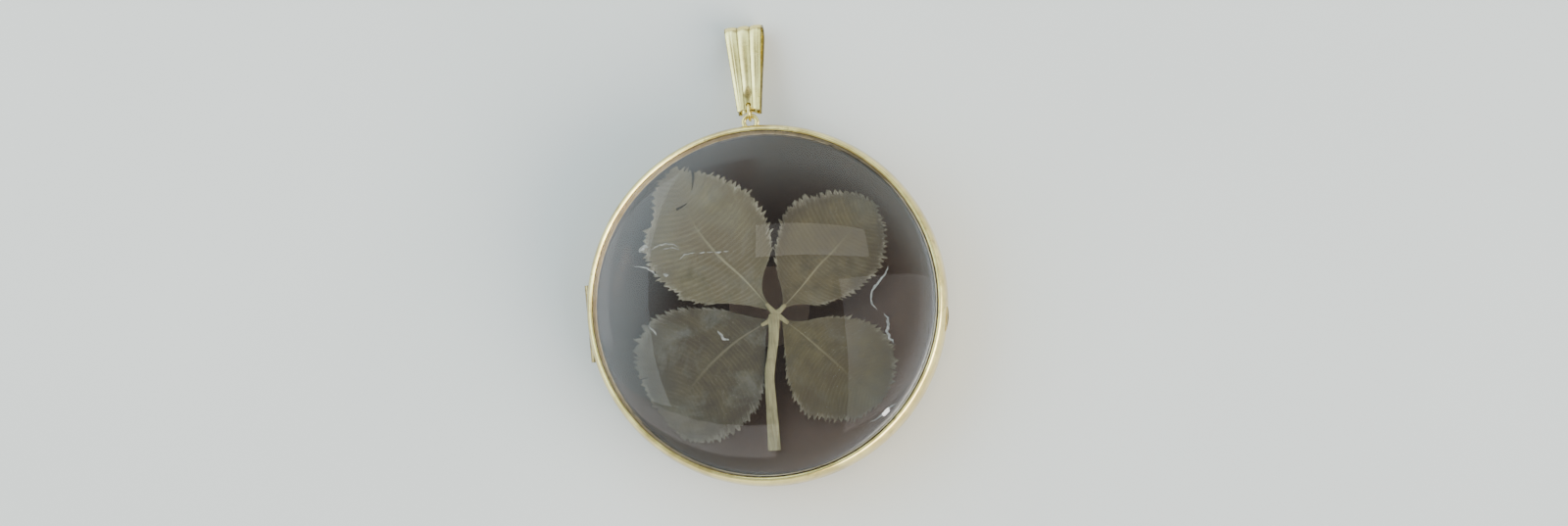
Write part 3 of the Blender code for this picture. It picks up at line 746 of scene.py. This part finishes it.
# Each leaflet: its level, its midrib, and its two margins from the base to the tip
LOW_LEVEL = -0.15
HIGH_LEVEL = -0.01
LEAFLETS = (
    {
        "level": LOW_LEVEL,
        "midrib": ((0.5, -0.6), (-1.4, 2.0), (-3.1, 3.9), (-4.6, 6.1), (-5.5, 8.5), (-6.1, 11.1)),
        "right": (
            (0.5, -0.6), (-0.2, 1.4), (0.9, 4.2), (0.8, 5.7), (0.1, 7.7), (-1.3, 9.2),
            (-3.5, 10.4), (-6.1, 11.1),
        ),
        "left": (
            (0.5, -0.6), (-1.0, -0.1), (-2.7, 0.3), (-5.6, 0.8), (-8.0, 2.9), (-8.9, 5.2),
            (-8.0, 7.5), (-7.6, 9.6), (-6.1, 11.1),
        ),
    },
    {
        "level": HIGH_LEVEL,
        "midrib": ((1.0, -0.7), (2.6, 0.7), (4.3, 2.4), (5.5, 3.4), (7.3, 5.1), (9.0, 6.7)),
        "right": (
            (1.0, -0.7), (2.3, -0.3), (4.2, -0.5), (6.1, -0.1), (7.8, 0.9), (9.0, 1.9), (9.5, 4.2),
            (9.0, 6.7),
        ),
        "left": (
            (1.0, -0.7), (1.4, 0.4), (1.1, 2.5), (1.2, 4.3), (1.9, 6.2), (2.8, 7.4), (4.6, 7.8),
            (7.2, 7.8), (9.0, 6.7),
        ),
    },
    {
        "level": LOW_LEVEL,
        "midrib": ((1.1, -1.2), (2.6, -2.6), (4.3, -4.4), (6.0, -6.3), (7.9, -8.3)),
        "right": (
            (1.1, -1.2), (1.1, -2.7), (1.1, -4.2), (1.2, -6.4), (2.1, -8.4), (3.7, -9.1),
            (5.9, -9.3), (7.9, -8.3),
        ),
        "left": (
            (1.1, -1.2), (2.4, -1.6), (5.0, -1.5), (7.1, -2.0), (8.7, -3.1), (9.3, -5.0),
            (9.0, -6.7), (7.9, -8.3),
        ),
    },
    {
        "level": HIGH_LEVEL,
        "midrib": ((0.2, -1.3), (-2.6, -2.7), (-5.0, -4.5), (-6.7, -6.3), (-8.1, -8.5)),
        "right": (
            (0.2, -1.3), (-1.0, -0.9), (-3.4, -0.1), (-6.0, 0.3), (-8.5, -0.2), (-10.0, -1.8),
            (-10.3, -3.9), (-9.4, -6.4), (-8.1, -8.5),
        ),
        "left": (
            (0.2, -1.3), (-0.2, -2.6), (-0.4, -4.4), (-0.8, -6.4), (-1.5, -7.8), (-2.6, -8.9),
            (-4.4, -9.8), (-6.6, -9.8), (-8.1, -8.5),
        ),
    },
)
LEAF_ALONG = 260
LEAF_ACROSS = 30
TEETH = 34
TOOTH = 0.56
LEAF_SHEET = 0.05
VEIN_HEIGHT = 0.004
RIB_HEIGHT = 0.028
RIB_HALF_WIDTH = 0.16
WAVE_HEIGHT = 0.022
RUCK_HEIGHT = 0.008
# Tears: the leaflet, the line from the margin inwards, and the width at the margin
TEARS = (
    (1, ((-4.65, 11.9), (-4.65, 11.0), (-4.6, 10.2), (-4.8, 9.2)), 0.30),
    (1, ((-6.1, 7.9), (-5.7, 8.05), (-5.2, 8.3)), 0.18),
    (4, ((-10.9, -5.1), (-10.0, -4.7), (-9.4, -4.6)), 0.20),
    (3, ((9.8, -6.1), (9.2, -6.0), (8.7, -5.8)), 0.16),
)


def tooth(share, seed):
    """The margin's teeth: short, uneven and leaning forwards."""
    place = share * TEETH + 0.9 * noise.noise(Vector((share * 16, seed, 2.0)))
    step = int(place)
    part = place - step
    size = 0.40 + 0.60 * (0.5 + noise.noise(Vector((step * 1.7, seed, 0.3))))
    notch = part / 0.7 if part < 0.7 else (1 - part) / 0.3
    return size * notch**0.8 + 0.5 * noise.noise(Vector((share * 130, seed, 5.0)))


def leaf_sheet(number, plan):
    """The points, faces and UVs of one leaflet, toothed, veined and slightly rucked."""
    margins = {1: spline(plan["left"], LEAF_ALONG + 1), -1: spline(plan["right"], LEAF_ALONG + 1)}
    midrib = spline(plan["midrib"], LEAF_ALONG + 1)
    ahead = (midrib[-1] - midrib[0]).normalized()
    level = SEAM_Z + plan["level"]
    points = []
    uvs = []
    columns = 2 * LEAF_ACROSS + 1
    for j in range(LEAF_ALONG + 1):
        along = j / LEAF_ALONG
        foot = midrib[j]
        for i in range(columns):
            across = i / LEAF_ACROSS - 1
            side = 1 if across > 0 else -1
            off = abs(across)
            lead = along**0.82
            exact = lead * LEAF_ALONG
            low = min(int(exact), LEAF_ALONG - 1)
            edge = margins[side][low].lerp(margins[side][low + 1], exact - low)
            out = edge - foot
            reach = out.length
            at_edge = smooth((off - 0.90) / 0.10)
            fringe = TOOTH * tooth(lead, number * 10 + side) * at_edge * smooth(along * 7)
            elbow = foot + out * 0.5 - ahead * 0.13 * reach
            spot = foot.lerp(elbow, off).lerp(elbow.lerp(edge, off), off)
            if reach > 1e-6:
                spot = spot + out / reach * (fringe - TOOTH * 0.35 * at_edge)
            veins = VEIN_HEIGHT * sin(VEINS * along) * smooth(off * 5) * (1 - smooth((off - 0.85) / 0.15))
            rib = RIB_HEIGHT * max(0.0, 1 - (off * reach / RIB_HALF_WIDTH) ** 2)
            rib *= 1 - smooth((along - 0.45) / 0.5)
            wave = WAVE_HEIGHT * noise.noise(Vector((spot.x * 0.45, spot.y * 0.45, number * 7.0)))
            ruck = RUCK_HEIGHT * noise.noise(Vector((spot.x * 2.4, spot.y * 2.4, number * 3.0)))
            points.append(Vector((spot.x, spot.y, level + veins + rib + wave + ruck)) * MM)
            uvs.append((along, 0.5 + across / 2))
    faces = []
    for j in range(LEAF_ALONG):
        for i in range(columns - 1):
            a = j * columns + i
            faces.append((a, a + 1, a + columns + 1, a + columns))
    return points, faces, uvs


def make_leaflet(number, plan):
    """One pressed leaflet, given its thickness and torn where its tears are listed."""
    points, faces, uvs = leaf_sheet(number, plan)
    surface = leaf(f"dried_leaf_{number}", *LEAF_TONES[number - 1])
    thing = new_object(f"pressed_leaflet_{number}", points, faces, surface)
    layer = thing.data.uv_layers.new(name="leaf")
    for loop in thing.data.loops:
        layer.data[loop.index].uv = uvs[loop.vertex_index]
    shape = bmesh.new()
    shape.from_mesh(thing.data)
    bmesh.ops.remove_doubles(shape, verts=shape.verts, dist=1e-7)
    bmesh.ops.recalc_face_normals(shape, faces=shape.faces)
    upward = sum(face.normal.z for face in shape.faces)
    if upward < 0:
        bmesh.ops.reverse_faces(shape, faces=shape.faces)
    shape.to_mesh(thing.data)
    shape.free()
    sheet = thing.modifiers.new("sheet", "SOLIDIFY")
    sheet.thickness = LEAF_SHEET * MM
    sheet.offset = 0.0
    apply_modifiers(thing)
    for leaflet, line, width in TEARS:
        if leaflet == number:
            cut(thing, tear(line, width), None)
    return thing


def tear(line, width):
    """A cutter for a slit that tapers to a point at the last place of its line."""
    count = 14
    spots = spline(line, count)
    sides = []
    for step, spot in enumerate(spots[:-1]):
        ahead = (spots[step + 1] - spot).normalized()
        side = Vector((-ahead.y, ahead.x)) * width / 2 * sqrt(1 - step / (count - 1))
        shake = 0.25 * width * noise.noise(Vector((spot.x * 3, spot.y * 3, 9.0)))
        sides.append((spot + side * (1 + shake), spot - side * (1 - shake)))
    outline = [pair[0] for pair in sides] + [spots[-1]] + [pair[1] for pair in reversed(sides)]
    size = len(outline)
    points = [Vector((p.x, p.y, SEAM_Z + z)) * MM for z in (-1, 1) for p in outline]
    faces = [tuple(range(size))[::-1], tuple(range(size, 2 * size))]
    faces += [(k, (k + 1) % size, size + (k + 1) % size, size + k) for k in range(size)]
    cutter = new_object("tear", points, faces, STEM)
    shape = bmesh.new()
    shape.from_mesh(cutter.data)
    bmesh.ops.recalc_face_normals(shape, faces=shape.faces)
    shape.to_mesh(cutter.data)
    shape.free()
    return cutter


STEM_LINE = ((0.6, -0.9), (0.4, -2.7), (0.1, -4.1), (-0.2, -5.6), (-0.3, -8.5), (-0.4, -11.1))
STEM_LEVEL = 0.15
STEM_THICK = 0.085
STEM_VOXEL = 0.03
STALK_SINK = 0.02


def flat_rod(line, half_width, half_thickness, grooves, level, seed):
    """A flattened rod along a line, with lengthwise grooves on top.

    half_width and half_thickness are functions of the share along it.
    """
    rings = []
    around = 28
    for j, spot in enumerate(line):
        share = j / (len(line) - 1)
        before = line[max(j - 1, 0)]
        after = line[min(j + 1, len(line) - 1)]
        ahead = (after - before).normalized()
        side = Vector((-ahead.y, ahead.x))
        ring = []
        for k in range(around):
            turn = 2 * pi * k / around
            wide = half_width(share) * cos(turn)
            groove = 1 - 0.22 * grooves * abs(sin(wide * 9 + seed)) * max(0.0, sin(turn))
            shake = 1 + 0.06 * noise.noise(Vector((share * 14, turn, seed)))
            spot3 = Vector((spot.x, spot.y, 0)) + Vector((side.x, side.y, 0)) * wide * shake
            high = half_thickness(share) * sin(turn) * groove
            ring.append((spot3 + Vector((0, 0, SEAM_Z + level + high))) * MM)
        rings.append(ring)
    points = [p for ring in rings for p in ring]
    faces = []
    for j in range(len(rings) - 1):
        for k in range(around):
            a = j * around + k
            b = j * around + (k + 1) % around
            faces.append((a, b, b + around, a + around))
    faces.append(tuple(range(around))[::-1])
    faces.append(tuple(range((len(rings) - 1) * around, len(rings) * around)))
    return points, faces


def stem_half_width(share):
    return 0.37 + 0.07 * (1 - smooth(share * 4)) + 0.12 * smooth((share - 0.45) / 0.55)


def stem_thickness(_share):
    return STEM_THICK


def stalk_half_width(share):
    return 0.26 - 0.13 * share


def stalk_thickness(share):
    return STEM_THICK - 0.035 * share


def make_stem():
    """The stem and the four short stalks to the leaflets, merged into one skin."""
    stem_line = spline(STEM_LINE, 160)
    shells = [flat_rod(stem_line, stem_half_width, stem_thickness, 1.0, STEM_LEVEL, 1.0)]
    hub = Vector(STEM_LINE[0])
    for number, plan in enumerate(LEAFLETS):
        start = hub + Vector((0.0, 0.1))
        end = Vector(plan["midrib"][0])
        along = Vector(plan["midrib"][1]) - end
        tip = end + along.normalized() * 0.7
        line = spline((tuple(start), tuple(end), tuple(tip)), 30)
        rod = flat_rod(line, stalk_half_width, stalk_thickness, 0.6, STEM_LEVEL - STALK_SINK, 4.0 + number)
        shells.append(rod)
    points = []
    faces = []
    for shell_points, shell_faces in shells:
        base = len(points)
        points += shell_points
        faces += [tuple(base + k for k in face) for face in shell_faces]
    stem = new_object("pressed_stem", points, faces, STEM)
    melt = stem.modifiers.new("melt", "REMESH")
    melt.mode = "VOXEL"
    melt.voxel_size = STEM_VOXEL * MM
    melt.use_smooth_shade = True
    apply_modifiers(stem)
    relax = stem.modifiers.new("relax", "SMOOTH")
    relax.factor = 0.5
    relax.iterations = 3
    return apply_modifiers(stem)


FILM = 0.235
ON_LEAF = -0.085
# Lines of pale dried deposit and painted highlights: the level, the line and its width. The deposit lies
# under the front crystal, and the painted highlights, the glint along the edges of the torn crease, lie on
# the first leaflet
RESIDUE_AND_CREASE_GLINTS = (
    (FILM, ((9.6, 1.8), (9.2, 1.2), (8.7, 0.7), (8.2, 0.1), (8.0, -0.7), (8.3, -1.4)), 0.20),
    (FILM, ((9.0, -1.7), (9.1, -2.6), (9.0, -3.4), (9.4, -4.0)), 0.30),
    (FILM, ((-9.7, 3.9), (-8.9, 3.75), (-8.5, 3.5), (-7.9, 2.9)), 0.13),
    (FILM, ((-7.5, 3.0), (-7.3, 3.02), (-7.1, 2.98)), 0.34),
    (FILM, ((-3.8, -1.7), (-3.5, -2.2), (-3.0, -2.5)), 0.28),
    (FILM, ((7.0, -9.7), (7.6, -9.5), (8.5, -8.8), (9.1, -8.5)), 0.13),
    (FILM, ((-9.2, 4.9), (-8.9, 5.2), (-8.5, 5.3)), 0.42),
    (FILM, ((-9.0, -0.8), (-8.7, -1.1), (-8.5, -1.5)), 0.22),
    # Painted highlights: the glint along the edges of the first leaflet's torn crease
    (ON_LEAF, ((-8.3, 5.1), (-7.6, 5.3), (-6.8, 5.35), (-6.2, 5.05)), 0.13),
    (ON_LEAF, ((-7.4, 5.0), (-6.7, 5.05), (-6.1, 4.8)), 0.09),
    (ON_LEAF, ((-6.2, 4.05), (-5.8, 4.35), (-4.95, 4.45)), 0.09),
    (ON_LEAF, ((-4.65, 4.42), (-4.45, 4.4), (-4.2, 4.38)), 0.12),
    (ON_LEAF, ((-4.05, 4.38), (-3.85, 4.36), (-3.6, 4.34)), 0.09),
    (ON_LEAF, ((-3.45, 4.32), (-3.2, 4.3), (-2.95, 4.3)), 0.14),
    (ON_LEAF, ((-2.8, 4.32), (-2.6, 4.3), (-2.4, 4.3)), 0.09),
)


def make_residue_and_glints():
    """Thin pale crusts, wavy and uneven in width: dried deposit, and on the first leaflet's crease painted
    highlights.
    """
    points = []
    faces = []
    around = 10
    count = 70
    for number, (level, line, width) in enumerate(RESIDUE_AND_CREASE_GLINTS):
        spots = spline(line, count)
        base = len(points)
        for step, spot in enumerate(spots):
            ahead = (spots[min(step + 1, count - 1)] - spots[max(step - 1, 0)]).normalized()
            side = Vector((-ahead.y, ahead.x))
            wander = 0.7 * width * noise.noise(Vector((spot.x * 3.1, spot.y * 3.1, number)))
            swell = 0.55 + 0.9 * abs(noise.noise(Vector((spot.x * 3.3, spot.y * 3.3, number + 5.0))))
            half = 0.5 * width * swell * sqrt(max(sin(pi * (step + 0.5) / count), 0.0)) + 0.004
            for k in range(around):
                turn = 2 * pi * k / around
                out = side * (wander + half * cos(turn))
                high = 0.02 * sin(turn) * min(1.0, half / 0.05)
                points.append(Vector((spot.x + out.x, spot.y + out.y, SEAM_Z + level + high)) * MM)
        for step in range(count - 1):
            for k in range(around):
                a = base + step * around + k
                b = base + step * around + (k + 1) % around
                faces.append((a, b, b + around, a + around))
        faces.append(tuple(base + k for k in range(around))[::-1])
        faces.append(tuple(base + (count - 1) * around + k for k in range(around)))
    return new_object("dried_residue_and_crease_glints", points, faces, PALE_DEPOSIT_AND_GLINT)


# ---------------------------------------------------------------- floor, camera and light


def make_floor():
    bpy.ops.mesh.primitive_plane_add(size=1.6)
    floor = bpy.context.object
    floor.name = "floor"
    floor.data.materials.append(table_top("pale_table"))


PENDANT_TURN = 6.3
CAMERA_TILT = 9.0
CAMERA_SIDE = -40.0
CAMERA_DISTANCE = 250.0
FRAME_WIDTH = 121.2
SENSOR_WIDTH = 36.0
AIM_RIGHT = 1.29
AIM_UP = 3.25


def make_camera():
    """Nearly overhead, tilted to the lower right, with the locket turned a little anticlockwise in view."""
    turn = radians(PENDANT_TURN)
    right = Vector((cos(turn), -sin(turn), 0))
    up = Vector((sin(turn), cos(turn), 0))
    side = radians(CAMERA_SIDE)
    lean = right * cos(side) + up * sin(side)
    tilt = radians(CAMERA_TILT)
    back = lean * sin(tilt) + Vector((0, 0, cos(tilt)))
    centre = Vector((0, 0, SEAM_Z))
    aim = centre + right * AIM_RIGHT + up * AIM_UP
    data = bpy.data.cameras.new("camera")
    data.sensor_width = SENSOR_WIDTH
    data.lens = SENSOR_WIDTH * CAMERA_DISTANCE / FRAME_WIDTH
    data.clip_start = 0.01
    data.clip_end = 10.0
    camera = bpy.data.objects.new("camera", data)
    bpy.context.scene.collection.objects.link(camera)
    x_axis = (right - back * right.dot(back)).normalized()
    y_axis = back.cross(x_axis)
    turn_matrix = Matrix((x_axis, y_axis, back)).transposed().to_4x4()
    camera.matrix_world = Matrix.Translation((aim + back * CAMERA_DISTANCE) * MM) @ turn_matrix
    bpy.context.scene.camera = camera


# The room's radiance overhead and near the horizon. A way is an azimuth in degrees from +X.
ROOM = (0.18, 0.178, 0.175)
HORIZON = (0.55, 0.55, 0.56)
# A bluish haze halfway up, strongest on the +Y side
HAZE_WAY = 110
HAZE = (1.60, 1.95, 1.95)
# A soft veil that the upper left of the glass mirrors: left, right, bottom and top, and its softness
VEIL_PLACE = (-0.38, -0.06, 0.13, 0.40, 0.03)
VEIL = (0.70, 0.69, 0.65)
# The window at the upper left and the warm glow low at the lower right
WINDOW_WAY = 146
WINDOW = (2.5, 3.1, 3.4)
GLOW_WAY = -38
GLOW = (13.0, 12.2, 10.4)
LAMP_HEIGHT = 0.5


def panel(name, x, y, turn, width, depth, radiance, colour):
    """A rectangular lamp that hangs level over the table, facing down."""
    data = bpy.data.lights.new(name, "AREA")
    data.shape = "RECTANGLE"
    data.size = width
    data.size_y = depth
    data.energy = radiance * pi * width * depth
    data.color = colour
    light = bpy.data.objects.new(name, data)
    bpy.context.scene.collection.objects.link(light)
    light.location = (x, y, LAMP_HEIGHT)
    light.rotation_euler = (0, 0, radians(turn))
    return light


def make_world():
    """A dim room, hazy and pale towards the horizon, with a soft bluish window and a warm low glow."""
    world = bpy.data.worlds.new("studio")
    bpy.context.scene.world = world
    world.use_nodes = True
    nodes = world.node_tree.nodes
    links = world.node_tree.links

    def add(kind, inputs, output=0, **settings):
        node = nodes.new("ShaderNode" + kind)
        for key, value in settings.items():
            setattr(node, key, value)
        for key, value in inputs.items():
            if isinstance(value, bpy.types.NodeSocket):
                links.new(value, node.inputs[key])
            else:
                node.inputs[key].default_value = value
        return node.outputs[output]

    def ease(value, start, end, at_start=0.0, at_end=1.0):
        """A smooth step from at_start, where value is at start, to at_end."""
        limits = {0: value, 1: start, 2: end, 3: at_start, 4: at_end}
        return add("MapRange", limits, interpolation_type="SMOOTHSTEP")

    way = add("TexCoord", {})
    height = add("SeparateXYZ", {0: way}, 2)

    def towards(azimuth):
        """How far way points towards an azimuth: 1 straight at it, and -1 straight away from it."""
        flat = (cos(radians(azimuth)), sin(radians(azimuth)), 0)
        return add("VectorMath", {0: way, 1: flat}, 1, operation="DOT_PRODUCT")

    def patch(azimuth, near, far, low, high):
        """1 in the middle of a soft patch towards azimuth, above low, and 0 well away from it."""
        wide = ease(towards(azimuth), near, far)
        return add("Math", {0: wide, 1: ease(height, low, high)}, operation="MULTIPLY")

    def blend(factor, first, second):
        node = nodes.new("ShaderNodeMix")
        node.data_type = "RGBA"
        for key, value in (("Factor", factor), ("A", first), ("B", second)):
            if isinstance(value, bpy.types.NodeSocket):
                links.new(value, node.inputs[key])
            else:
                node.inputs[key].default_value = value
        return node.outputs["Result"]

    def sheet(left, right, bottom, top, soft):
        """1 inside a soft rectangle of the level plane that the lamps hang in, and 0 outside it."""
        inside = None
        above = add("Math", {0: height, 1: 0.01}, operation="MAXIMUM")
        for axis, start, end in ((0, left, right), (1, bottom, top)):
            side = add("SeparateXYZ", {0: way}, axis)
            place = add("Math", {0: side, 1: above}, operation="DIVIDE")
            for edge, sign in ((start, 1), (end, -1)):
                near = (edge - sign * soft) / LAMP_HEIGHT
                far = (edge + sign * soft) / LAMP_HEIGHT
                step = ease(place, near, far)
                if inside is None:
                    inside = step
                else:
                    inside = add("Math", {0: inside, 1: step}, operation="MULTIPLY")
        return inside

    colour = blend(ease(height, 0.35, 0.70, 1.0, 0.0), rgb(*ROOM), rgb(*HORIZON))
    haze = add("Math", {0: ease(height, 0.25, 0.60), 1: ease(height, 0.95, 0.76)}, operation="MULTIPLY")
    haze_side = ease(towards(HAZE_WAY), -0.55, 0.35, 0.35, 1.0)
    haze = add("Math", {0: haze, 1: haze_side}, operation="MULTIPLY")
    colour = blend(haze, colour, rgb(*HAZE))
    colour = blend(sheet(*VEIL_PLACE), colour, rgb(*VEIL))
    colour = blend(patch(WINDOW_WAY, 0.34, 0.74, 0.05, 0.35), colour, rgb(*WINDOW))
    colour = blend(patch(GLOW_WAY, 0.66, 0.93, -0.2, 0.12), colour, rgb(*GLOW))
    links.new(colour, nodes["Background"].inputs[0])


def make_light():
    """The room, and four lamps that the glass mirrors."""
    make_world()
    panel("overhead", 0.04, 0.146, -3, 0.20, 0.058, 1.0, (1.0, 0.98, 0.92))
    panel("side", 0.38, -0.08, 3, 0.60, 0.34, 0.70, (0.98, 0.99, 1.0))
    panel("window", -0.58, 0.16, 0, 0.60, 0.60, 1.2, (0.80, 0.95, 1.0))
    panel("spot", 0.268, -0.312, -49, 0.080, 0.026, 45.0, (1.0, 0.98, 0.95))


# ---------------------------------------------------------------- assembly


def dress(node, surface):
    """Gives a node of the frame its finished material."""
    thing = frame["nodes"][node]
    thing.data.materials.clear()
    thing.data.materials.append(surface)


def put(piece, body, node):
    """Lets a piece stand for a node of the frame and move with its body."""
    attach(piece, body)
    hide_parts(node)


make_camera()
make_light()
make_floor()

rim_front, rim_rear = make_rim()
put(rim_front, "front_half", "front_bezel")
put(rim_rear, "rear_half", "rear_bezel")
glass_front, glass_rear = make_crystals()
put(glass_front, "front_half", "front_crystal")
put(glass_rear, "rear_half", "rear_crystal")
put(make_eye(), "rear_half", "bail_eye")
put(make_ring(), "link", "jump_ring")
put(make_bail(), "bail", "bail")
for count, leaflet_plan in enumerate(LEAFLETS, 1):
    put(make_leaflet(count, leaflet_plan), "rear_half", f"clover_leaflet_{count}")
put(make_stem(), "rear_half", "clover_stem")
# Pale dried deposit under the front crystal, and painted highlights on the first leaflet's crease
residue_and_glint = make_residue_and_glints()
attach(residue_and_glint, "rear_half")

# The knuckles take the darker copy of the gold, as painted shade
for node_name in ("rear_knuckle_upper", "rear_knuckle_lower", "front_knuckle"):
    dress(node_name, SHADED_HINGE_GOLD)
dress("thumb_lip", RIM_GOLD)
for node_name in ("snap_collar", "front_retaining_ring", "rear_retaining_ring"):
    dress(node_name, INNER_GOLD)
dress("eye_saddle", BRIGHT_GOLD)
dress("hinge_pin", PIN_STEEL)
